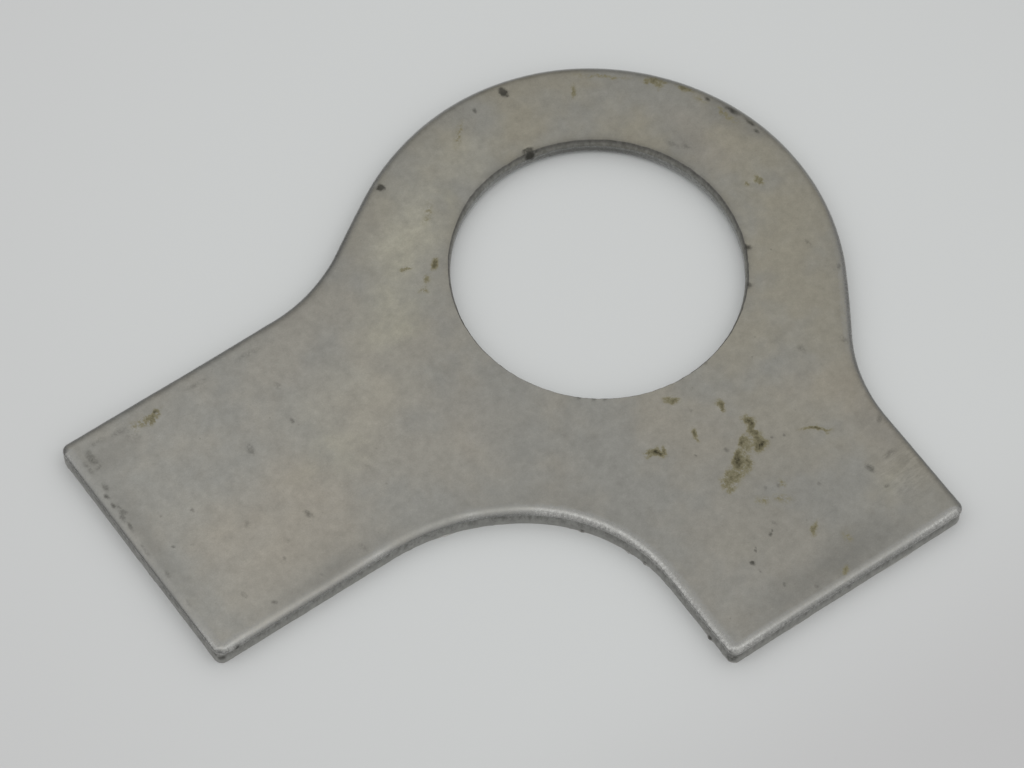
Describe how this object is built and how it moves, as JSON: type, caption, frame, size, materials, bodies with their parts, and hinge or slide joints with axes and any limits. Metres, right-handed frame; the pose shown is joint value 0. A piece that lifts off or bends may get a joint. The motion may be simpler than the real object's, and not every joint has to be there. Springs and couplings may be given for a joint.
{
  "type": "lock tab",
  "caption": "Flat sheet-steel tab washer: a ring with a clearance bore and straight unbent tabs at a right angle, bent up against a nut and a part to lock them.",
  "frame": {"origin": "on the axis of the round bore, at the underside that rests on the clamped part", "axes": "+Z along the bore's axis, out of the upper face, whose outline edge is drawn in; -X along the long tab's centre line, away from the bore; -Y along the short tab's, away from the bore"},
  "size_m": [0.0835, 0.0699, 0.0025],
  "materials": {
    "bare_steel": "bare hot-rolled sheet steel, dull grey with a faint oily brown mottle, bright drawn-in edges and dark sheared walls"
  },
  "bodies": {
    "root": {"lock_tab": "bare_steel"}
  },
  "joints": []
}
